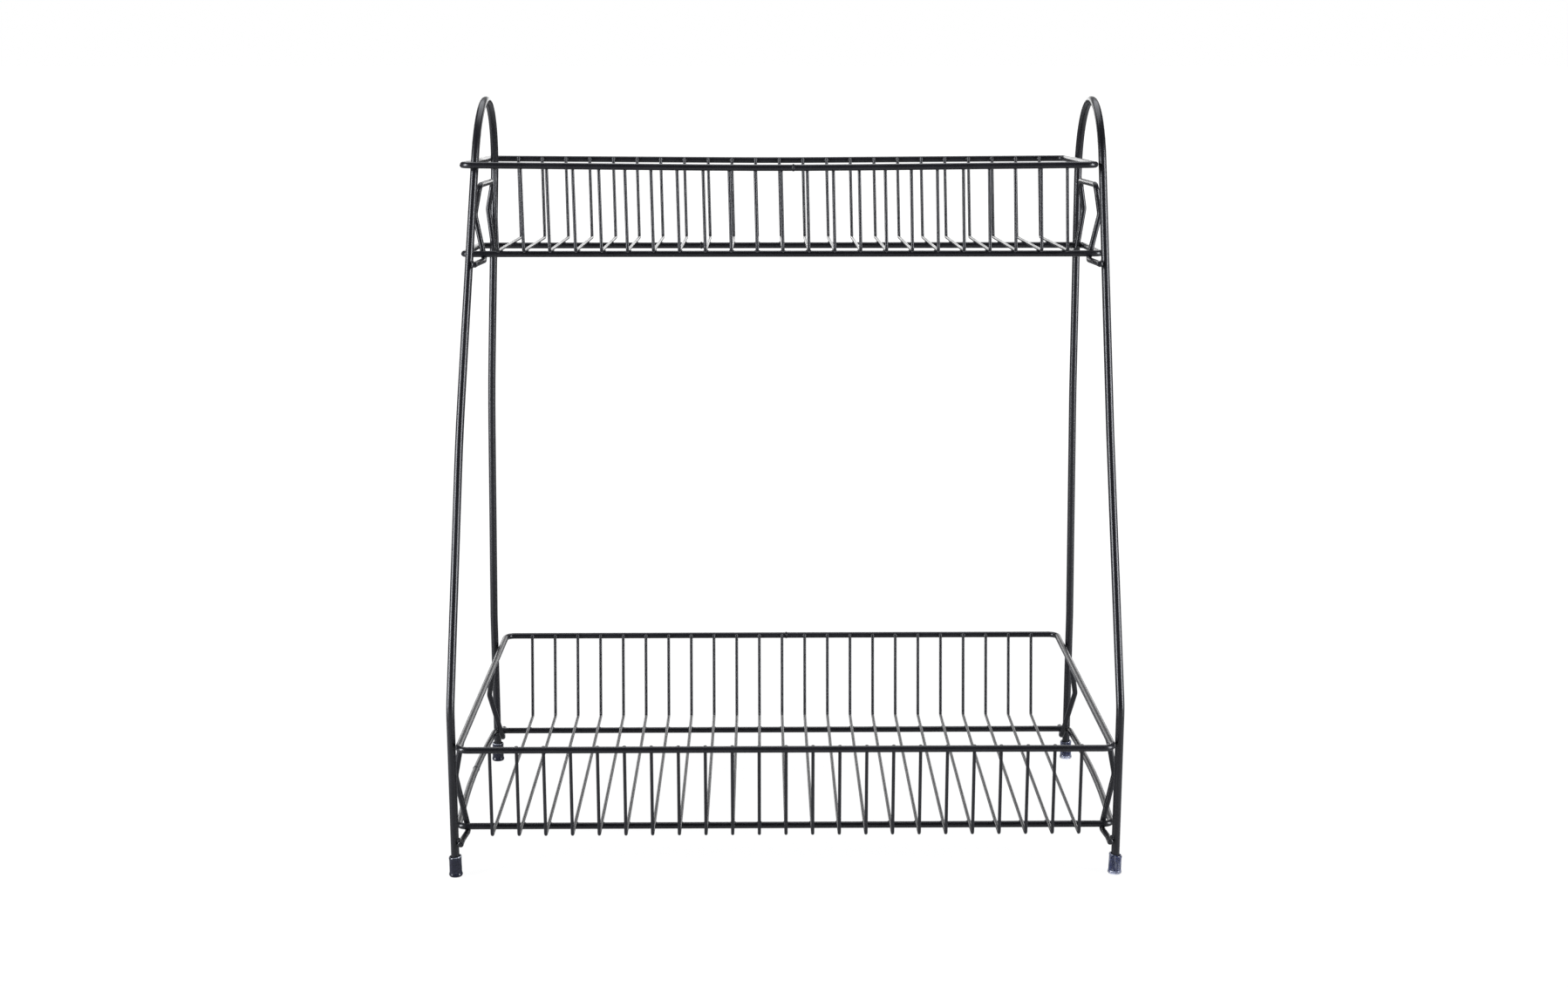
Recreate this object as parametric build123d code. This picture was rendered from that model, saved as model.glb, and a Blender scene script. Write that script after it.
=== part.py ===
from build123d import *
import math
import os

# Two-tier wire rack: two bent side frames carry two baskets of welded wire.
# Millimetres. X runs along the baskets, front is -Y, +Z is up.
# The origin is on the floor, in the middle of the whole rack.

# Wire gauges
frame_wire = 5.0
rim_wire = 4.0
cross_wire = 2.0
bracket_wire = 3.5

# Side frames
frame_height = 460.0
leg_span = 210.0
knee_height = 105.0
knee_radius = 30.0
back_knee_radius = 200.0
arch_radius = 51.0

# The frames are sprung a little: each leans in, and bends at mid height
bow_height = 262.0
bow_radius = 2000.0
left_low_lean_angle = 1.04
left_high_lean_angle = 2.46
right_low_lean_angle = 0.85
right_high_lean_angle = 0.3

# Foot caps
cap_diameter = 8.0
cap_length = 13.0
cap_floor = 2.0
cap_lip = 0.4
cap_lip_height = 1.6

# Basket wires that both tiers share
top_rim_length = 393.0
bottom_rim_extra = 10.0
rim_play = 1.4
wire_count = 23
wire_end_space = 20.5
top_rim_corner = 6.0
bottom_rim_corner = 5.0
rim_bow_radius = 1200.0
wire_bend = 2.0
wire_end_rise = 1.2

# Lower basket: its rims are placed from the middles of the legs
lower_rim_height = 83.5
lower_basket_height = 55.1
lower_front_overhang = 14.0
lower_back_overhang = 26.0
lower_front_inset = 1.5
lower_back_inset = 9.5
lower_bottom_front_gap = 13.5
lower_bottom_back_gap = 10.1
lower_end_bow = 4.4

# Upper basket: its front rim lies just in front of the slanting legs
upper_rim_drop = 41.8
upper_basket_height = 52.5
upper_front_gap = 1.5
upper_back_overhang = 32.9
upper_front_outset = 2.5
upper_back_inset = 5.5
upper_bottom_front_gap = 27.4
upper_bottom_back_gap = 13.1
upper_wire_shift = 1.0
upper_floor_shift = 1.2
upper_tilt_angle = 1.3
upper_front_sag = 2.0
upper_back_sag = 1.3
sag_radius = 5000.0

# Brackets: how far in from the frame's plane the wire runs at each level
bracket_corner = 5.0
bracket_kink_radius = 8.0
bracket_foot_radius = 12.0
bracket_kink_inset = -1.2
lower_bracket_top_inset = 2.8
upper_bracket_top_inset = 1.6
lower_bracket_front_inset = 5.8
lower_bracket_back_inset = 5.8
upper_bracket_front_inset = 5.5
upper_bracket_back_inset = 3.0
bracket_kink_drop = 27.2
bracket_top_drop = 6.2
upper_bracket_top_drop = 13.0
upper_bracket_kink_drop = 31.0
bracket_tip = 4.5
lower_bracket_back_lean = 18.0
upper_bracket_back_lean = 2.0

# Fits: welded wires sink into each other, loose ones keep a gap
weld_sink = 0.1
loose_gap = 0.3

# Places that follow from the sizes above
frame_spread = top_rim_length + frame_wire + rim_play
bottom_rim_length = top_rim_length + bottom_rim_extra
wire_pitch = (top_rim_length - 2 * wire_end_space) / (wire_count - 1)
plane_x = frame_spread / 2
arch_centre_rise = frame_height - frame_wire / 2 - knee_height - arch_radius
arch_centre_back = leg_span - arch_radius
line_to_centre = math.hypot(arch_centre_back, arch_centre_rise)
front_slope = (
    math.atan2(arch_centre_back, arch_centre_rise) - math.asin(arch_radius / line_to_centre)
)
apex_rise = leg_span / math.tan(front_slope)


def front_leg_at(height):
    """Depth of the front leg's centre behind the front foot, at a height."""
    return max(height - knee_height, 0.0) * math.tan(front_slope)


def inward_at(height, leans):
    """How far a side frame has come in from its foot, at a height."""
    low_lean, high_lean = leans
    low_rise = max(min(height, bow_height) - knee_height, 0.0)
    high_rise = max(height - bow_height, 0.0)
    return (
        low_rise * math.tan(math.radians(low_lean))
        + high_rise * math.tan(math.radians(high_lean))
    )


left_leans = (left_low_lean_angle, left_high_lean_angle)
right_leans = (right_low_lean_angle, right_high_lean_angle)


# Heights of the floors and rims, by the middles of their wires
lower_floor_height = lower_rim_height - lower_basket_height
upper_rim_height = frame_height - upper_rim_drop
upper_floor_height = upper_rim_height - upper_basket_height
under_floor = cross_wire / 2 + rim_wire / 2 - weld_sink

# Edges of the baskets, measured back from the front foot
lower_front_edge = -lower_front_overhang
lower_top_depth = lower_front_overhang + leg_span + lower_back_overhang
leg_half_depth = frame_wire / 2 / math.cos(front_slope)
upper_front_edge = front_leg_at(upper_rim_height) - leg_half_depth - upper_front_gap - rim_wire
upper_back_edge = leg_span + upper_back_overhang
upper_top_depth = upper_back_edge - upper_front_edge
middle = (lower_front_edge + upper_back_edge) / 2

front_foot_y = -middle
back_foot_y = leg_span - middle
lower_front_y = lower_front_edge - middle
upper_front_y = upper_front_edge - middle

# The upper basket has slid left until it meets the right frame
upper_shift = (
    plane_x - inward_at(upper_rim_height, right_leans)
    - frame_wire / 2 - loose_gap - top_rim_length / 2
)


def wire_along(path, gauge):
    """A round wire of one gauge, swept along a path."""
    start = path @ 0
    section = Plane(origin=start, z_dir=path % 0) * Circle(gauge / 2)
    return sweep(section, path=path)


def bent_wire(points, radii, gauge):
    """Straight runs joined by bends: one radius for each inner point."""
    return wire_along(FilletPolyline(*points, radius=radii), gauge)


def in_frame(side, leans, inward, depth, height):
    """A point given by how far it lies in from a side frame, at its height."""
    return (side * (plane_x - inward_at(height, leans) - inward), depth, height)


def side_frame(side, leans):
    """One wire: front leg, knee, slanting run, round top, back leg."""
    bow_depth = front_foot_y + front_leg_at(bow_height)
    points = [
        in_frame(side, leans, 0.0, front_foot_y, cap_floor),
        in_frame(side, leans, 0.0, front_foot_y, knee_height),
        in_frame(side, leans, 0.0, bow_depth, bow_height),
        in_frame(side, leans, 0.0, back_foot_y, knee_height + apex_rise),
        in_frame(side, leans, 0.0, back_foot_y, bow_height),
        in_frame(side, leans, 0.0, back_foot_y, knee_height),
        in_frame(side, leans, 0.0, back_foot_y, cap_floor),
    ]
    radii = [knee_radius, bow_radius, arch_radius, bow_radius, back_knee_radius]
    return bent_wire(points, radii, frame_wire)


def foot_cap(side, depth):
    """A moulded vinyl cap with a small lip round its mouth and its sole."""
    body = Cylinder(cap_diameter / 2, cap_length, align=(Align.CENTER, Align.CENTER, Align.MIN))
    lip = Cylinder(
        cap_diameter / 2 + cap_lip, cap_lip_height,
        align=(Align.CENTER, Align.CENTER, Align.MIN),
    )
    outer = body + lip
    bore = Pos(0, 0, cap_floor) * Cylinder(
        frame_wire / 2, cap_length, align=(Align.CENTER, Align.CENTER, Align.MIN)
    )
    return Pos(side * plane_x, depth, 0) * (outer - bore)


def rim(length, depth, corner, front_y, height, shift, end_bow=0.0, front_sag=0.0, back_sag=0.0):
    """A closed rim of wire by its outside size; its ends may bow out and its long bars sag."""
    half = (length - rim_wire) / 2
    front = front_y + rim_wire / 2
    back = front_y + depth - rim_wire / 2
    middle_y = (front + back) / 2
    stations = [
        (-half, front, 0.0, corner),
        (0.0, front, front_sag, sag_radius),
        (half, front, 0.0, corner),
        (half + end_bow, middle_y, 0.0, rim_bow_radius),
        (half, back, 0.0, corner),
        (0.0, back, back_sag, sag_radius),
        (-half, back, 0.0, corner),
        (-half - end_bow, middle_y, 0.0, rim_bow_radius),
    ]
    straight_ends = end_bow == 0.0
    straight_bars = front_sag == 0.0 and back_sag == 0.0
    kept = [
        (x, y, drop, radius) for x, y, drop, radius in stations
        if not (radius == rim_bow_radius and straight_ends)
        and not (radius == sag_radius and straight_bars)
    ]
    points = [(shift + x, y, height - drop) for x, y, drop, radius in kept]
    radii = [radius for x, y, drop, radius in kept]
    return wire_along(FilletPolyline(*points, radius=radii, close=True), rim_wire)


def cross(x, floor_x, front, depth, front_inset, back_inset, ends, floor_height):
    """One U-shaped wire: down the front wall, along the floor, up the back."""
    inside = rim_wire + cross_wire / 2 - weld_sink
    front_rim_y = front + inside
    back_rim_y = front + depth - inside
    front_floor_y = front + rim_wire + front_inset + cross_wire / 2
    back_floor_y = front + depth - rim_wire - back_inset - cross_wire / 2
    points = [(floor_x, front_floor_y, floor_height), (floor_x, back_floor_y, floor_height)]
    tops = []
    for rim_y, floor_y, rim_height in zip(
        (front_rim_y, back_rim_y), (front_floor_y, back_floor_y), ends
    ):
        share = wire_end_rise / (rim_height - floor_height)
        tops.append((
            x + (x - floor_x) * share,
            rim_y + (rim_y - floor_y) * share,
            rim_height + wire_end_rise,
        ))
    return bent_wire([tops[0], *points, tops[1]], [wire_bend, wire_bend], cross_wire)


def bracket(side, leans, size, front_leg_y, bottom_front, bottom_depth, bottom_height):
    """One wire: both tips are welded to the legs, the loop stands between them."""
    crook = rim_wire / 2 + bracket_wire / 2 + loose_gap
    seat = bottom_height - crook
    beside_leg = frame_wire / 2 + bracket_wire / 2 - weld_sink
    front_y = bottom_front + rim_wire / 2 + crook
    back_y = bottom_front + bottom_depth - rim_wire / 2 - crook
    top_height = size["rim"] - size["top_drop"]
    kink_height = size["rim"] - size["kink_drop"]
    kink_share = (top_height - kink_height) / (top_height - seat)
    top_back_y = back_y - size["back_lean"]
    kink_back_y = top_back_y + size["back_lean"] * kink_share
    profile = [
        (beside_leg, front_leg_y - bracket_tip, seat),
        (beside_leg, front_leg_y + bracket_tip, seat),
        (size["seat_front"], front_y, seat),
        (bracket_kink_inset, front_y, kink_height),
        (size["seat_top"], front_y, top_height),
        (size["seat_top"], top_back_y, top_height),
        (bracket_kink_inset, kink_back_y, kink_height),
        (size["seat_back"], back_y, seat),
        (beside_leg, back_foot_y - bracket_tip, seat),
        (beside_leg, back_foot_y + bracket_tip, seat),
    ]
    points = [in_frame(side, leans, *place) for place in profile]
    half = [bracket_foot_radius, crook, bracket_kink_radius, bracket_corner]
    radii = half + half[::-1]
    return bent_wire(points, radii, bracket_wire)


def wire_places(shift):
    """Where the cross wires stand along a basket, evenly about its middle."""
    first = shift - wire_pitch * (wire_count - 1) / 2
    return [first + wire_pitch * number for number in range(wire_count)]


def save(solid, name):
    """Write one piece to its own file."""
    export_step(solid, os.path.join("parts", name + ".step"))


os.makedirs("parts", exist_ok=True)

sides = {"left": (-1, left_leans), "right": (1, right_leans)}
for name, (side, leans) in sides.items():
    save(side_frame(side, leans), name + "_side_frame")
    save(foot_cap(side, front_foot_y), name + "_front_foot_cap")
    save(foot_cap(side, back_foot_y), name + "_back_foot_cap")

# The bottom rims lie under the floor wires, welded to every one of them
tiers = {
    "lower": dict(
        front=lower_front_y, depth=lower_top_depth, rim=lower_rim_height,
        floor=lower_floor_height, front_inset=lower_front_inset, back_inset=lower_back_inset,
        bottom_front_gap=lower_bottom_front_gap, bottom_back_gap=lower_bottom_back_gap,
        end_bow=lower_end_bow, shift=0.0, wire_shift=0.0, floor_shift=0.0, tilt=0.0,
        front_sag=0.0, back_sag=0.0,
        top_drop=bracket_top_drop, kink_drop=bracket_kink_drop,
        back_lean=lower_bracket_back_lean, seat_front=lower_bracket_front_inset,
        seat_back=lower_bracket_back_inset, seat_top=lower_bracket_top_inset,
    ),
    "upper": dict(
        front=upper_front_y, depth=upper_top_depth, rim=upper_rim_height,
        floor=upper_floor_height, front_inset=-upper_front_outset, back_inset=upper_back_inset,
        bottom_front_gap=upper_bottom_front_gap, bottom_back_gap=upper_bottom_back_gap,
        end_bow=0.0, shift=upper_shift, wire_shift=upper_wire_shift,
        floor_shift=upper_floor_shift, tilt=upper_tilt_angle,
        front_sag=upper_front_sag, back_sag=upper_back_sag,
        top_drop=upper_bracket_top_drop, kink_drop=upper_bracket_kink_drop,
        back_lean=upper_bracket_back_lean, seat_front=upper_bracket_front_inset,
        seat_back=upper_bracket_back_inset, seat_top=upper_bracket_top_inset,
    ),
}
for tier, size in tiers.items():
    # A tilted basket and its brackets lean back together about the top rim's middle
    pivot = Pos(0, size["front"] + size["depth"] / 2, size["rim"])
    turned = pivot * Rot(-size["tilt"], 0, 0) * pivot.inverse()
    bottom_height = size["floor"] - under_floor
    front_leg_y = front_foot_y + front_leg_at(bottom_height)
    bottom_front = front_leg_y + size["bottom_front_gap"]
    bottom_depth = back_foot_y - size["bottom_back_gap"] - bottom_front
    wires_x = size["shift"] + size["wire_shift"]
    top = rim(
        top_rim_length, size["depth"], top_rim_corner, size["front"], size["rim"],
        size["shift"], front_sag=size["front_sag"], back_sag=size["back_sag"],
    )
    bottom = rim(
        bottom_rim_length, bottom_depth, bottom_rim_corner, bottom_front, bottom_height,
        wires_x + size["floor_shift"], end_bow=size["end_bow"],
    )
    save(turned * top, tier + "_top_rim")
    save(turned * bottom, tier + "_bottom_rim")
    half_length = (top_rim_length - rim_wire) / 2
    for number, x in enumerate(wire_places(wires_x), start=1):
        sag_share = 1 - abs(x - size["shift"]) / half_length
        ends = [size["rim"] - size[sag] * sag_share for sag in ("front_sag", "back_sag")]
        wire = cross(
            x, x + size["floor_shift"], size["front"], size["depth"],
            size["front_inset"], size["back_inset"], ends, size["floor"],
        )
        save(turned * wire, f"{tier}_cross_wire_{number:02d}")
    for name, (side, leans) in sides.items():
        holder = bracket(
            side, leans, size, front_leg_y, bottom_front, bottom_depth, bottom_height
        )
        save(turned * holder, f"{name}_{tier}_bracket")
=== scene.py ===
# %% [markdown]
# # A two-tier wire basket rack
#
# The rack is all round steel wire under a satin black powder coat, on four soft vinyl foot caps.
# The bent and welded wires come in as the CAD frame, with their real gauges and places.
# This lesson gives them their finish, and adds what a CAD model of wires leaves out:
# the weld beads, the rounded wire ends, the joints of the rims, and the soft foot caps.

# %% Load the frame
import math
import random

import bpy
from mathutils import Matrix, Vector


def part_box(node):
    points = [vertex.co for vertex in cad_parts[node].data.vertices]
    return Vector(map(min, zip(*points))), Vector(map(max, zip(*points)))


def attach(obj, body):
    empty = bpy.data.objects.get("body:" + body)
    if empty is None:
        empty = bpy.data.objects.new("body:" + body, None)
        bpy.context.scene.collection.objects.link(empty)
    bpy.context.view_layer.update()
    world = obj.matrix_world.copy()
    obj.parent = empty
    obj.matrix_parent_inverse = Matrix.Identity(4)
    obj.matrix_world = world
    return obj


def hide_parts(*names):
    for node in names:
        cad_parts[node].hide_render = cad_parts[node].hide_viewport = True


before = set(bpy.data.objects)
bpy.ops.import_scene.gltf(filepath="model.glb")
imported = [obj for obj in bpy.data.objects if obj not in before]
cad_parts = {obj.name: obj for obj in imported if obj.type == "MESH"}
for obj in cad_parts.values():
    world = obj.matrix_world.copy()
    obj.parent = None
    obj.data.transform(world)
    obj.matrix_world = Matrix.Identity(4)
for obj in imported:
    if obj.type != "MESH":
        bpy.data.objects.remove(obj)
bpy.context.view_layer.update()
millimetre = 0.001

# %% [markdown]
# The camera stands in front of the rack, a little above its top, and looks gently down.
# Its place was solved from the even row of cross wires, so the wires fall where they should.

# %% Camera
looks_down = 12.06
looks_right = 0.636

camera_data = bpy.data.cameras.new("camera")
camera_data.lens = 48.05
camera_data.sensor_width = 36.0
camera = bpy.data.objects.new("camera", camera_data)
bpy.context.scene.collection.objects.link(camera)
camera.location = (-0.01438, -1.3071, 0.49075)
camera.rotation_euler = (math.radians(90 - looks_down), 0, math.radians(-looks_right))
bpy.context.scene.camera = camera
bpy.context.scene.view_settings.view_transform = "Standard"
print("camera", tuple(camera.location))

# %% [markdown]
# Shader maths reads best as plain expressions, so one small class wraps a socket.
# Adding or multiplying two of them adds the Math node for it. A second class wraps a
# material, and adds any other node by its type and its inputs.

# %% A class for shader maths
class Wire:
    """A socket of a node tree that can be used in arithmetic."""

    def __init__(self, tree, socket):
        self.tree = tree
        self.socket = socket

    def maths(self, operation, first, second):
        node = self.tree.nodes.new("ShaderNodeMath")
        node.operation = operation
        for slot, value in zip(node.inputs, (first, second)):
            if isinstance(value, Wire):
                self.tree.links.new(value.socket, slot)
            else:
                slot.default_value = value
        return Wire(self.tree, node.outputs[0])

    def __add__(self, other):
        return self.maths("ADD", self, other)

    def __radd__(self, other):
        return self.maths("ADD", other, self)

    def __sub__(self, other):
        return self.maths("SUBTRACT", self, other)

    def __rsub__(self, other):
        return self.maths("SUBTRACT", other, self)

    def __mul__(self, other):
        return self.maths("MULTIPLY", self, other)

    def __rmul__(self, other):
        return self.maths("MULTIPLY", other, self)


class Finish:
    """A material whose nodes are added by type, settings and inputs."""

    def __init__(self, name):
        self.material = bpy.data.materials.new(name)
        self.material.use_nodes = True
        self.tree = self.material.node_tree
        self.shader = self.tree.nodes["Principled BSDF"]

    def node(self, kind, output=0, settings=None, **values):
        """Add a node, and set or link its inputs by name, with _ for a space."""
        made = self.tree.nodes.new("ShaderNode" + kind)
        for key, value in (settings or {}).items():
            setattr(made, key, value)
        for key, value in values.items():
            slot = made.inputs[key.replace("_", " ")]
            if key == "A" or key == "B":
                slot = [s for s in made.inputs if s.name == key and s.enabled][0]
            if isinstance(value, Wire):
                self.tree.links.new(value.socket, slot)
            else:
                slot.default_value = value
        found = [s for s in made.outputs if s.enabled] if kind == "Mix" else made.outputs
        return Wire(self.tree, found[output])

    def blend(self, share, first, second):
        """A colour between two others."""
        sized = [c if isinstance(c, Wire) else (*c, 1.0) for c in (first, second)]
        return self.node(
            "Mix", settings={"data_type": "RGBA"}, Factor=share, A=sized[0], B=sized[1]
        )

    def feed(self, name, value):
        """Set or link an input of the main shader."""
        slot = self.shader.inputs[name]
        if isinstance(value, Wire):
            self.tree.links.new(value.socket, slot)
        else:
            slot.default_value = value


print("shader helpers ready")

# %% [markdown]
# Powder coat is a baked film of plastic. Up close it has an orange-peel skin with cells
# under a millimetre across, a slow drift in gloss with the film's thickness, and fine dust.
# Noise on Object coordinates gives all three at real scale, with no texture map.

# %% Powder coat
def grain(finish, per_metre, detail=2.0, roughness=0.5):
    """Noise whose cells are one metre divided by per_metre across."""
    place = finish.node("TexCoord", output=3)
    return finish.node(
        "TexNoise", Vector=place, Scale=per_metre, Detail=detail, Roughness=roughness
    )


def powder_coat(name, base, dusty, gloss, peel_height):
    finish = Finish(name)
    peel = grain(finish, 1500.0)
    drift = grain(finish, 40.0, detail=3.0)
    specks = grain(finish, 5200.0, detail=0.0)
    dust = finish.node("MapRange", Value=specks, From_Min=0.68, From_Max=0.80)
    film = finish.node("MapRange", Value=drift, From_Min=0.3, From_Max=0.7)
    tint = finish.blend(film, base, [c * 1.5 for c in base])
    finish.feed("Base Color", finish.blend(dust * 0.15, tint, dusty))
    finish.feed("Roughness", gloss + film * 0.05 + dust * 0.1 + (peel - 0.5) * 0.05)
    finish.feed("IOR", 1.5)
    height = peel * 0.7 + drift * 0.3
    skin = finish.node("Bump", Strength=0.25, Distance=peel_height, Height=height)
    finish.feed("Normal", skin)
    return finish.material


black_coat = powder_coat(
    "black_powder_coat",
    base=(0.0070, 0.0070, 0.0088),
    dusty=(0.05, 0.05, 0.05),
    gloss=0.25,
    peel_height=0.02 * millimetre,
)
weld_coat = powder_coat(
    "coated_weld_metal",
    base=(0.0080, 0.0080, 0.0098),
    dusty=(0.06, 0.06, 0.06),
    gloss=0.28,
    peel_height=0.12 * millimetre,
)


def give_finish(thing, material):
    thing.data.materials.clear()
    thing.data.materials.append(material)


steel_nodes = [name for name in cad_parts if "cap" not in name]
for name in steel_nodes:
    give_finish(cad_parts[name], black_coat)
print("coated nodes", len(steel_nodes))

# %% [markdown]
# The foot caps are dipped from soft, smoky vinyl that lets some light through.
# Transmission tints the light, streaks along the cap give the pulled look of the dip,
# and a gentle bump keeps it from looking like glass. The wall runs out thin at the mouth,
# and on the clearer caps at the flare of the sole too, so those rings are paler.

# %% Vinyl
foot_low, foot_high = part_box("left_front_foot_cap")
cap_height = foot_high.z - foot_low.z


def vinyl(name, tint, pale, clearness, streak_share, skirt_share):
    finish = Finish(name)
    place = finish.node("TexCoord", output=3)
    drawn_out = finish.node("Mapping", Vector=place, Scale=(1.0, 1.0, 0.16))
    streaks = finish.node("TexNoise", Vector=drawn_out, Scale=620.0, Detail=3.0)
    streak = finish.node("MapRange", Value=streaks, From_Min=0.52, From_Max=0.72)
    cloud = grain(finish, 260.0, detail=3.0)
    murky = finish.node("MapRange", Value=cloud, From_Min=0.35, From_Max=0.7)
    body = finish.blend(murky, [c * 0.7 for c in tint], tint)
    level = finish.node("SeparateXYZ", output=2, Vector=place)
    mouth = finish.node(
        "MapRange", Value=level, From_Min=cap_height * 0.93, From_Max=cap_height * 0.97
    )
    skirt = finish.node(
        "MapRange", Value=level, From_Min=cap_height * 0.18, From_Max=cap_height * 0.06
    )
    streaked = finish.blend(streak * streak_share, body, pale)
    thin = mouth * 0.65 + skirt * skirt_share
    thin_wall = (0.66, 0.69, 0.76)
    finish.feed("Base Color", finish.blend(thin, streaked, thin_wall))
    finish.feed("Roughness", 0.10 + cloud * 0.14)
    finish.feed("IOR", 1.52)
    finish.feed("Transmission Weight", clearness)
    ripples = streaks * 0.6 + cloud * 0.4
    ripple_height = 0.3 * millimetre
    skin = finish.node("Bump", Strength=0.4, Distance=ripple_height, Height=ripples)
    finish.feed("Normal", skin)
    return finish.material


dark_vinyl = vinyl(
    "dark_smoky_vinyl",
    tint=(0.014, 0.016, 0.034),
    pale=(0.07, 0.08, 0.14),
    clearness=0.35,
    streak_share=0.4,
    skirt_share=0.0,
)
blue_vinyl = vinyl(
    "blue_smoky_vinyl",
    tint=(0.10, 0.12, 0.26),
    pale=(0.80, 0.84, 0.95),
    clearness=0.80,
    streak_share=0.9,
    skirt_share=0.6,
)
print("vinyls", dark_vinyl.name, blue_vinyl.name)

# %% [markdown]
# Each small piece is modelled once, by hand in edit mode. A few helpers choose vertices or
# faces by a test, copy a model to its place and join what belongs together.

# %% Helpers for modelling by hand
def clear_selection():
    bpy.ops.object.select_all(action="DESELECT")


def pick(thing, test, kind="vert"):
    """In edit mode, select the vertices or faces that pass a test."""
    bpy.ops.mesh.select_all(action="DESELECT")
    bpy.ops.object.mode_set(mode="OBJECT")
    mesh = thing.data
    bpy.context.tool_settings.mesh_select_mode = (kind == "vert", False, kind == "face")
    for item in mesh.vertices if kind == "vert" else mesh.polygons:
        item.select = test(item)
    bpy.ops.object.mode_set(mode="EDIT")


def finish_mesh(thing, angle=50):
    """Back to object mode, place put in the mesh, shaded smooth."""
    if thing.mode != "OBJECT":
        bpy.ops.object.mode_set(mode="OBJECT")
    clear_selection()
    thing.select_set(True)
    bpy.context.view_layer.objects.active = thing
    bpy.ops.object.transform_apply(location=True, rotation=True, scale=True)
    bpy.ops.object.shade_smooth_by_angle(angle=math.radians(angle))
    thing.select_set(False)


def copy_of(model, matrix, name):
    """A copy with its own mesh, its place put in that mesh."""
    copy = bpy.data.objects.new(name, model.data.copy())
    copy.data.transform(matrix)
    bpy.context.scene.collection.objects.link(copy)
    return copy


def join_all(things, name):
    clear_selection()
    for thing in things:
        thing.select_set(True)
    bpy.context.view_layer.objects.active = things[0]
    bpy.ops.object.join()
    joined = bpy.context.view_layer.objects.active
    joined.name = name
    joined.data.name = name
    joined.select_set(False)
    return joined


def throw_away(model):
    bpy.data.meshes.remove(model.data)


print("modelling helpers ready")

# %% [markdown]
# A foot cap could be lathed, but it is quicker to start from a cylinder. Its top face is
# inset and pushed down to open the mouth, and the rings of the wall are then scaled one by
# one: a rolled lip at the mouth, a waist, and the loose flare where the sole has spread.

# %% Foot cap
cap_radius = 4.0 * millimetre
bore_radius = 3.05 * millimetre
cap_floor = 2.2 * millimetre
wall_rings = 26

clear_selection()
bpy.ops.mesh.primitive_cylinder_add(
    vertices=40, radius=cap_radius, depth=cap_height, location=(0, 0, cap_height / 2)
)
cap_model = bpy.context.object
bpy.ops.object.transform_apply(location=True)
bpy.ops.object.mode_set(mode="EDIT")
pick(cap_model, lambda face: face.normal.z > 0.9, "face")
bpy.ops.mesh.inset(thickness=cap_radius - bore_radius)
bpy.ops.mesh.extrude_region_move(
    TRANSFORM_OT_translate={"value": (0, 0, cap_floor - cap_height)}
)
for cut in range(1, wall_rings):
    bpy.ops.mesh.select_all(action="SELECT")
    level = cap_height * cut / wall_rings
    bpy.ops.mesh.bisect(plane_co=(0, 0, level), plane_no=(0, 0, 1))
bpy.ops.object.mode_set(mode="OBJECT")
print("cap starts with", len(cap_model.data.polygons), "faces")

# %% Shape the cap's wall ring by ring
# Height share of the cap, and the wall's outside radius there as a share of its own
wall_profile = [
    (0.00, 0.955), (0.04, 1.035), (0.08, 1.06), (0.12, 1.045), (0.17, 0.985), (0.24, 0.965),
    (0.35, 0.970), (0.55, 0.960), (0.75, 0.955), (0.86, 0.965), (0.92, 0.995), (0.97, 0.985),
    (1.00, 0.930),
]


def wall_share(height):
    """The outside radius share at a height share, between the listed ones."""
    for (low, first), (high, second) in zip(wall_profile, wall_profile[1:]):
        if height <= high:
            step = (height - low) / (high - low)
            ease = step * step * (3 - 2 * step)
            return first + (second - first) * ease
    return wall_profile[-1][1]


bpy.ops.object.mode_set(mode="EDIT")
for ring in range(wall_rings + 1):
    level = cap_height * ring / wall_rings
    pick(
        cap_model,
        lambda v: abs(v.co.z - level) < 1e-5 and v.co.xy.length > cap_radius * 0.9,
    )
    share = wall_share(ring / wall_rings)
    bpy.ops.transform.resize(
        value=(share, share, 1), center_override=(0, 0, level), orient_type="GLOBAL"
    )
# The bore opens a little at the mouth, and the sole is hollow
pick(cap_model, lambda v: v.co.z > cap_height * 0.99 and v.co.xy.length < cap_radius * 0.85)
bpy.ops.transform.resize(value=(1.06, 1.06, 1), center_override=(0, 0, cap_height))
pick(cap_model, lambda face: face.normal.z < -0.9 and face.center.z < cap_height * 0.1, "face")
bpy.ops.mesh.inset(thickness=0.5 * millimetre)
bpy.ops.mesh.inset(thickness=0.5 * millimetre)
bpy.ops.transform.translate(value=(0, 0, 0.35 * millimetre))
bpy.ops.mesh.select_all(action="SELECT")
bpy.ops.mesh.normals_make_consistent(inside=False)
finish_mesh(cap_model)
smooth = cap_model.modifiers.new("smooth wall", "SUBSURF")
smooth.levels = smooth.render_levels = 1
bpy.context.view_layer.objects.active = cap_model
cap_model.select_set(True)
bpy.ops.object.modifier_apply(modifier=smooth.name)
print("cap has", len(cap_model.data.polygons), "faces")

# %% [markdown]
# No two dipped caps sit alike. Each copy is turned, tipped by a degree or so and squeezed
# out of round, its mouth is cut askew, and its sole is pressed flat on the floor again.

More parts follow.
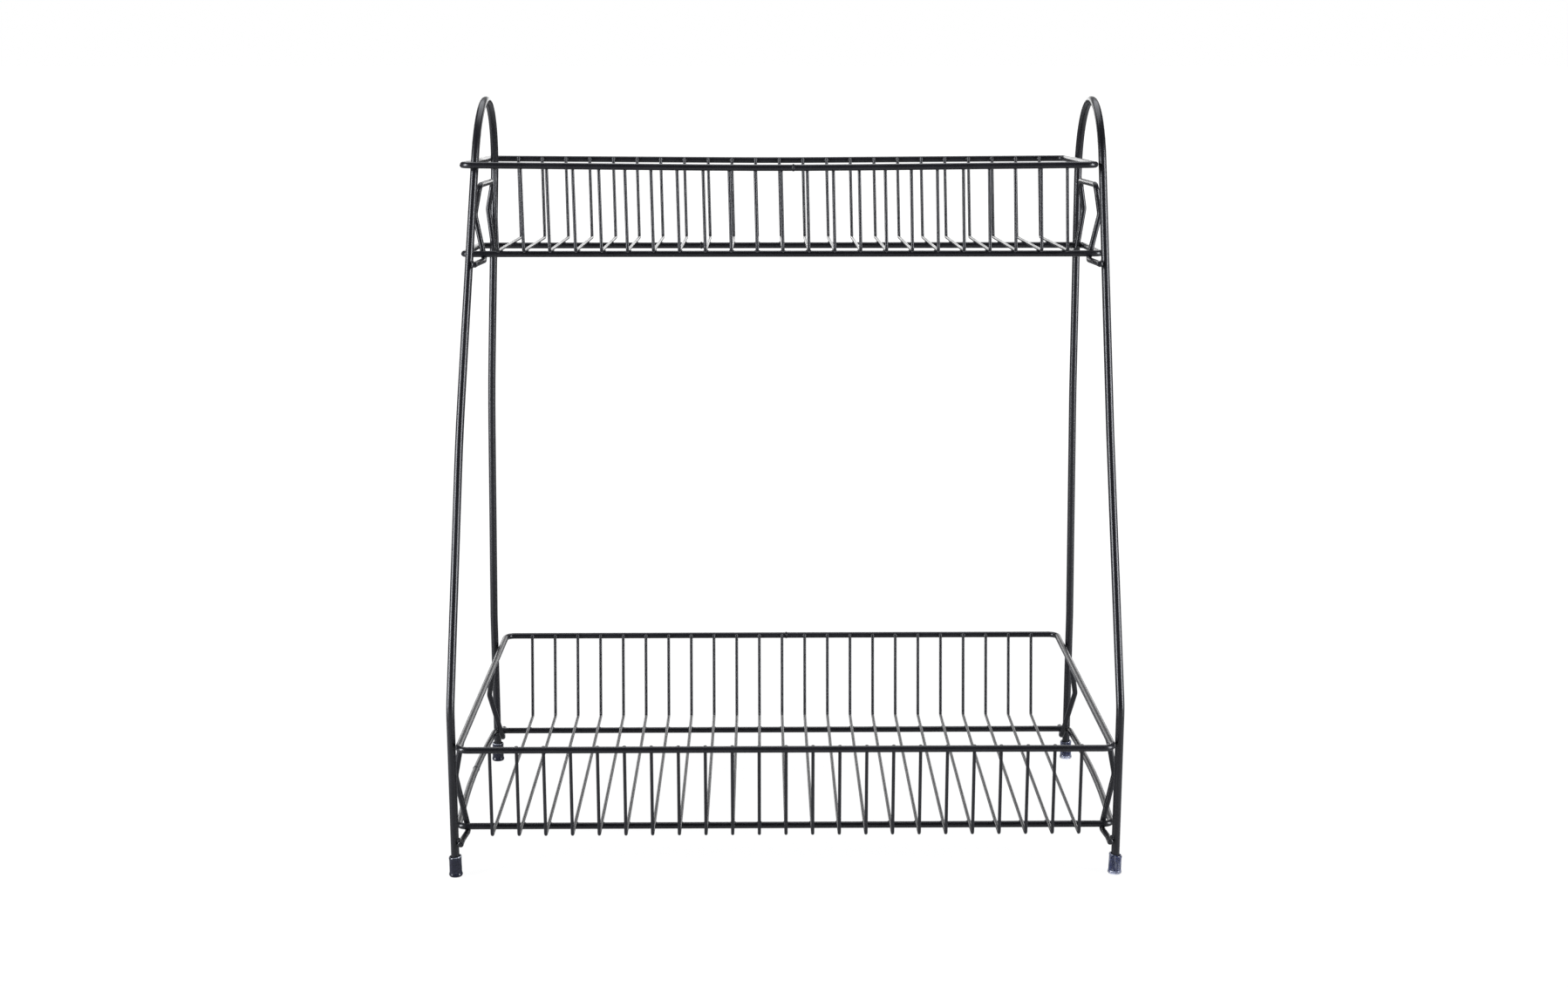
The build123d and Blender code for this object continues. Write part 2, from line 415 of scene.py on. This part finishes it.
# %% Place the four caps
cap_habits = {
    # corner: turn, tip about X and Y, squeeze, slope of the mouth, vinyl
    "left_front": (20, (0.6, -0.4), 0.985, -0.10, dark_vinyl),
    "right_front": (200, (-0.8, 1.6), 1.000, 0.22, blue_vinyl),
    "left_back": (110, (0.5, 0.6), 0.990, 0.05, dark_vinyl),
    "right_back": (290, (-0.6, -1.0), 1.000, -0.08, blue_vinyl),
}
for corner, (turn, (tip_x, tip_y), squeeze, askew, material) in cap_habits.items():
    low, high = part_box(f"{corner}_foot_cap")
    centre = (low + high) / 2
    above = Vector((0, 0, cap_height * 0.6))
    tipped = (
        Matrix.Translation(Vector((centre.x, centre.y, 0)) + above)
        @ Matrix.Rotation(math.radians(tip_x), 4, "X")
        @ Matrix.Rotation(math.radians(tip_y), 4, "Y")
        @ Matrix.Rotation(math.radians(turn), 4, "Z")
        @ Matrix.Diagonal((squeeze, 1 / (squeeze + 0.01), 1, 1))
        @ Matrix.Translation(-above)
    )
    cap = copy_of(cap_model, tipped, f"{corner}_vinyl_cap")
    for vertex in cap.data.vertices:
        drop = (vertex.co.x - centre.x) * askew + cap_radius * abs(askew)
        upper_share = min(max(vertex.co.z / cap_height * 2 - 1, 0), 1)
        vertex.co.z = min(max(vertex.co.z - drop * upper_share, low.z), high.z)
    give_finish(cap, material)
    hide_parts(f"{corner}_foot_cap")
    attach(cap, "root")
    print(cap.name, len(cap.data.polygons), "faces")
throw_away(cap_model)

# %% [markdown]
# Every cross wire is resistance-welded to the rims: the wires are squeezed together hot and
# a little metal is pressed out of the joint. That nugget is a flattened, lumpy bead.
# It is modelled once with few faces, and copied with a turn and size of its own.

# %% Weld nugget
dice = random.Random(11)
clear_selection()
bpy.ops.mesh.primitive_uv_sphere_add(segments=10, ring_count=6, radius=millimetre)
nugget = bpy.context.object
bpy.ops.object.mode_set(mode="EDIT")
bpy.ops.mesh.select_all(action="SELECT")
bpy.ops.transform.resize(value=(1.0, 1.0, 0.8))
pick(nugget, lambda v: abs(v.co.x) > 0.6 * millimetre)
bpy.ops.transform.resize(value=(1.0, 0.72, 0.72), center_override=(0, 0, 0))
bpy.ops.mesh.select_all(action="SELECT")
bpy.ops.transform.vertex_random(offset=0.09 * millimetre, seed=4)
finish_mesh(nugget, 80)
print("nugget has", len(nugget.data.polygons), "faces")


def nugget_at(place, size, turn, name):
    """One bead: size is along X, Y and Z, turn is in degrees about X."""
    wobble = [1 + dice.uniform(-0.14, 0.14) for _ in range(3)]
    scale = Matrix.Diagonal((*(s * w for s, w in zip(size, wobble)), 1))
    spin = Matrix.Rotation(math.radians(turn + dice.uniform(-9, 9)), 4, "X")
    flip = Matrix.Rotation(math.pi * dice.randrange(2), 4, "Z")
    return copy_of(nugget, Matrix.Translation(place) @ spin @ flip @ scale, name)


# %% [markdown]
# The welds are found on the wires themselves: a cut end is read off a wire's own vertices,
# and the top of a bottom rim is met by a straight line from above.

# %% Find the places of the welds
wire_total = sum(name.startswith("lower_cross_wire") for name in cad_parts)
rim_low, rim_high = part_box("lower_top_rim")
rim_gauge = rim_high.z - rim_low.z
wire_low, wire_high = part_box("lower_cross_wire_01")
wire_gauge = wire_high.x - wire_low.x
end_rise = 1.2 * millimetre


def wire_end(name, axis, sign, near=None):
    """Centre, outward direction and radius of a cut end, read off the node's own vertices."""
    points = [v.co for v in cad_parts[name].data.vertices if near is None or near(v.co)]
    edge = max(co[axis] * sign for co in points)
    found = [co for co in points if edge - co[axis] * sign < 0.5 * millimetre]
    centre = sum(found, Vector()) / len(found)
    reach = max(found, key=lambda co: (co - centre).length) - centre
    other = max(found, key=lambda co: reach.cross(co - centre).length) - centre
    outward = reach.cross(other).normalized()
    if outward[axis] * sign < 0:
        outward = -outward
    return centre, outward, reach.length


def skin_of(name, start, direction):
    """Where a straight line first meets a node."""
    found, place, normal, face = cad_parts[name].ray_cast(start, Vector(direction))
    assert found, name
    return place


def wire_ends(name):
    """The front and the back end of a cross wire."""
    low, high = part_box(name)
    middle = (low.y + high.y) / 2
    return (
        wire_end(name, 2, 1, lambda co: co.y < middle),
        wire_end(name, 2, 1, lambda co: co.y > middle),
    )


print("wires in a basket", wire_total, "gauges", rim_gauge, wire_gauge)

# %% Weld the cross wires to the rims
wall_bead = (1.75, 0.85, 1.35)
floor_bead = (1.75, 1.30, 0.75)
bead_scatter = 0.2 * millimetre

for tier in ("lower", "upper"):
    floor_low, floor_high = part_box(f"{tier}_bottom_rim")
    top_beads, floor_beads = [], []
    for number in range(1, wire_total + 1):
        name = f"{tier}_cross_wire_{number:02d}"
        for (centre, outward, radius), facing in zip(wire_ends(name), (-1, 1)):
            touch = centre - outward * end_rise + Vector((0, facing * wire_gauge / 2, 0))
            touch.z += dice.uniform(-bead_scatter, bead_scatter)
            lean = math.degrees(math.atan2(outward.y, outward.z))
            top_beads.append(nugget_at(touch, wall_bead, -lean, "bead"))
        low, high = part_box(name)
        middle = (low.x + high.x) / 2
        front_end = wire_ends(name)[0][0]
        x = middle + (middle - front_end.x)
        for y in (floor_low.y + rim_gauge / 2, floor_high.y - rim_gauge / 2):
            above = Vector((x, y, floor_high.z + 10 * millimetre))
            place = skin_of(f"{tier}_bottom_rim", above, (0, 0, -1))
            floor_beads.append(nugget_at(place, floor_bead, 0, "bead"))
    for beads, name in ((top_beads, "top_rim"), (floor_beads, "bottom_rim")):
        welds = join_all(beads, f"{tier}_{name}_welds")
        give_finish(welds, weld_coat)
        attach(welds, "root")
        print(welds.name, len(welds.data.polygons), "faces")

# %% [markdown]
# The wires are cropped before they are coated, and the powder rounds the cut ends over.
# A shallow dome is set on each end: a short cylinder, its top inset and raised three times.

# %% Rounded wire ends
clear_selection()
bpy.ops.mesh.primitive_cylinder_add(vertices=14, radius=1.0, depth=0.2, location=(0, 0, -0.06))
dome = bpy.context.object
bpy.ops.object.transform_apply(location=True)
bpy.ops.object.mode_set(mode="EDIT")
pick(dome, lambda face: face.normal.z > 0.9, "face")
for inward, rise in ((0.08, 0.10), (0.17, 0.10), (0.30, 0.08)):
    bpy.ops.mesh.inset(thickness=inward)
    bpy.ops.transform.translate(value=(0, 0, rise))
finish_mesh(dome, 80)
print("dome has", len(dome.data.polygons), "faces")


def dome_on(end):
    """A dome on a wire end that is given by its centre, direction and radius."""
    centre, outward, radius = end
    stand = outward.to_track_quat("Z", "Y").to_matrix().to_4x4()
    size = Matrix.Scale(radius * 1.02, 4)
    return copy_of(dome, Matrix.Translation(centre) @ stand @ size, "end")


for tier in ("lower", "upper"):
    ends = []
    for number in range(1, wire_total + 1):
        ends += [dome_on(end) for end in wire_ends(f"{tier}_cross_wire_{number:02d}")]
    tips = join_all(ends, f"{tier}_wire_ends")
    give_finish(tips, black_coat)
    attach(tips, "root")
    print(tips.name, len(tips.data.polygons), "faces")

# %% [markdown]
# A bracket's two tips run past the legs and are welded on by hand, with more metal.
# Each gets two beads, above and below the crossing, and a rounded end. The crossing lies
# a few millimetres in from the tip.

# %% Bracket welds
crossing = 4.5 * millimetre
bead_rise = 1.1 * millimetre
bracket_bead = (1.1, 2.6, 1.5)

for side in ("left", "right"):
    for tier in ("lower", "upper"):
        name = f"{side}_{tier}_bracket"
        pieces = []
        for sign in (-1, 1):
            centre, outward, radius = end = wire_end(name, 1, sign)
            pieces.append(dome_on(end))
            inward = 1 if side == "left" else -1
            touch = centre - outward * crossing - Vector((inward * radius, 0, 0))
            for rise in (-bead_rise, bead_rise):
                spot = touch + Vector((0, 0, rise))
                pieces.append(nugget_at(spot, bracket_bead, 0, "bead"))
        welds = join_all(pieces, f"{name}_welds")
        give_finish(welds, weld_coat)
        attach(welds, "root")
        print(welds.name, len(welds.data.polygons), "faces")
throw_away(dome)
throw_away(nugget)

# %% [markdown]
# A rim is one wire bent round until its ends meet, and the ends are butt-welded.
# The joint shows as a low collar, a little lumpy, with a flash of metal on one side.
# The one at a rim's end is ground flush on its outer side.

# %% Rim joints
clear_selection()
bpy.ops.mesh.primitive_torus_add(
    major_radius=1.0, minor_radius=0.22, major_segments=28, minor_segments=10
)
collar = bpy.context.object
bpy.ops.object.mode_set(mode="EDIT")
bpy.ops.mesh.select_all(action="SELECT")
bpy.ops.transform.resize(value=(1.0, 1.0, 1.9))
pick(collar, lambda v: v.co.x < -0.8)
bpy.ops.transform.resize(value=(1.08, 1.0, 0.8), center_override=(0, 0, 0))
bpy.ops.mesh.select_all(action="SELECT")
bpy.ops.transform.vertex_random(offset=0.03, seed=9)
finish_mesh(collar, 80)

rim_joints = {
    # rim: the bar that the joint is in, and millimetres along it from its middle
    "upper_top_rim": ("front", 8.5),
    "lower_top_rim": ("back", 3.0),
    "upper_bottom_rim": ("back", -53.0),
    "lower_bottom_rim": ("left", 12.0),
}
for name, (bar, millimetres) in rim_joints.items():
    along = millimetres * millimetre
    low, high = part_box(name)
    middle = (low + high) / 2
    if bar == "left":
        beside = Vector((low.x - rim_gauge, middle.y + along, middle.z))
        place = skin_of(name, beside, (1, 0, 0)) + Vector((rim_gauge / 2, 0, 0))
        turned = Matrix.Rotation(math.pi / 2, 4, "X")
    else:
        y = low.y + rim_gauge / 2 if bar == "front" else high.y - rim_gauge / 2
        above = Vector((middle.x + along, y, high.z + rim_gauge))
        place = skin_of(name, above, (0, 0, -1)) - Vector((0, 0, rim_gauge / 2))
        turned = Matrix.Rotation(math.pi / 2, 4, "Y")
    size = Matrix.Scale(rim_gauge / 2 * 0.93, 4)
    joint = copy_of(collar, Matrix.Translation(place) @ turned @ size, f"{name}_joint")
    for vertex in joint.data.vertices:
        vertex.co.x = max(vertex.co.x, low.x)
    give_finish(joint, weld_coat)
    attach(joint, "root")
    print(joint.name, tuple(round(c, 4) for c in place))
throw_away(collar)

# %% [markdown]
# The rack stands on a plain floor in an even, bright room. Seen from the camera the floor
# glows white, with hardly a shadow. What the rack itself gets from it is a mid grey, which
# keeps the undersides and the edges of the wires dark.

# %% Floor
floor_size = 60.0
floor_behind = 20.0
floor_drop = 0.2 * millimetre

clear_selection()
bpy.ops.mesh.primitive_plane_add(size=floor_size, location=(0, floor_behind, -floor_drop))
floor = bpy.context.object
floor.name = "floor"
bpy.ops.object.transform_apply(location=True)
paper = Finish("white_floor")
paper.feed("Base Color", (0.45, 0.45, 0.45, 1.0))
paper.feed("Roughness", 0.9)
paper.feed("Specular IOR Level", 0.1)
glow = paper.node("Emission", Color=(1.0, 1.0, 1.0, 1.0), Strength=1.12)
camera_sight = paper.node("LightPath", output=0)
from_rack = paper.node(
    "VectorMath",
    output=1,
    settings={"operation": "LENGTH"},
    Vector=paper.node("TexCoord", output=3),
)
own_white = paper.node(
    "MapRange", Value=from_rack, From_Min=0.45, From_Max=0.90, To_Min=0.85, To_Max=1.0
)
lit = Wire(paper.tree, paper.shader.outputs[0])
seen = paper.tree.nodes.new("ShaderNodeMixShader")
paper.tree.links.new((camera_sight * own_white).socket, seen.inputs[0])
paper.tree.links.new(lit.socket, seen.inputs[1])
paper.tree.links.new(glow.socket, seen.inputs[2])
paper.tree.links.new(seen.outputs[0], paper.tree.nodes["Material Output"].inputs[0])
give_finish(floor, paper.material)
print("floor is staged")

# %% [markdown]
# The world is white to the camera and dim to the rack. Only reflections see a bright
# backdrop low behind it. The rest of the look comes from three soft boxes: a wide one
# overhead for every wire that lies flat, and one at each side for the pale stripes along
# the uprights. No lamp stands straight in front.

# %% World
world = bpy.data.worlds.new("white room")
bpy.context.scene.world = world
world.use_nodes = True
sky = world.node_tree
background = sky.nodes["Background"]
background.inputs["Color"].default_value = (1.0, 1.0, 1.0, 1.0)
path = sky.nodes.new("ShaderNodeLightPath")
straight = Wire(sky, path.outputs["Is Camera Ray"])
through = Wire(sky, path.outputs["Is Transmission Ray"])
mirrored = Wire(sky, path.outputs["Is Glossy Ray"])
direction = sky.nodes.new("ShaderNodeTexCoord")
split = sky.nodes.new("ShaderNodeSeparateXYZ")
sky.links.new(direction.outputs["Generated"], split.inputs[0])


def ramp_up(socket, start, end):
    """0 below the start, 1 above the end."""
    made = sky.nodes.new("ShaderNodeMapRange")
    sky.links.new(socket, made.inputs["Value"])
    made.inputs["From Min"].default_value = start
    made.inputs["From Max"].default_value = end
    return Wire(sky, made.outputs[0])


backdrop = ramp_up(split.outputs["Y"], 0.45, 0.95)
higher = ramp_up(split.outputs["Z"], 0.10, 0.32)
dim = 0.15
reflected = 0.03 + backdrop * (2.8 - higher * 2.6)
strength = dim + (straight + through) * (1 - dim) + mirrored * (reflected - dim)
sky.links.new(strength.socket, background.inputs["Strength"])
print("world is", dim, "bright to the rack")

# %% Lamps
lamps = {
    # name: place, width, height, watts
    "soft_box_above": ((0.0, 0.7, 1.6), 1.6, 1.2, 14.0),
    "soft_box_left": ((-1.6, -0.75, 0.55), 0.6, 1.5, 52.0),
    "soft_box_right": ((1.6, -0.75, 0.55), 0.6, 1.5, 46.0),
}
aim = Vector((0, 0, 0.25))
for name, (place, width, height, watts) in lamps.items():
    data = bpy.data.lights.new(name, "AREA")
    data.shape = "RECTANGLE"
    data.size = width
    data.size_y = height
    data.energy = watts
    data.color = (0.93, 0.95, 1.0)
    lamp = bpy.data.objects.new(name, data)
    bpy.context.scene.collection.objects.link(lamp)
    lamp.location = place
    lamp.rotation_euler = (aim - Vector(place)).to_track_quat("-Z", "Y").to_euler()
    print(name, "at", place)
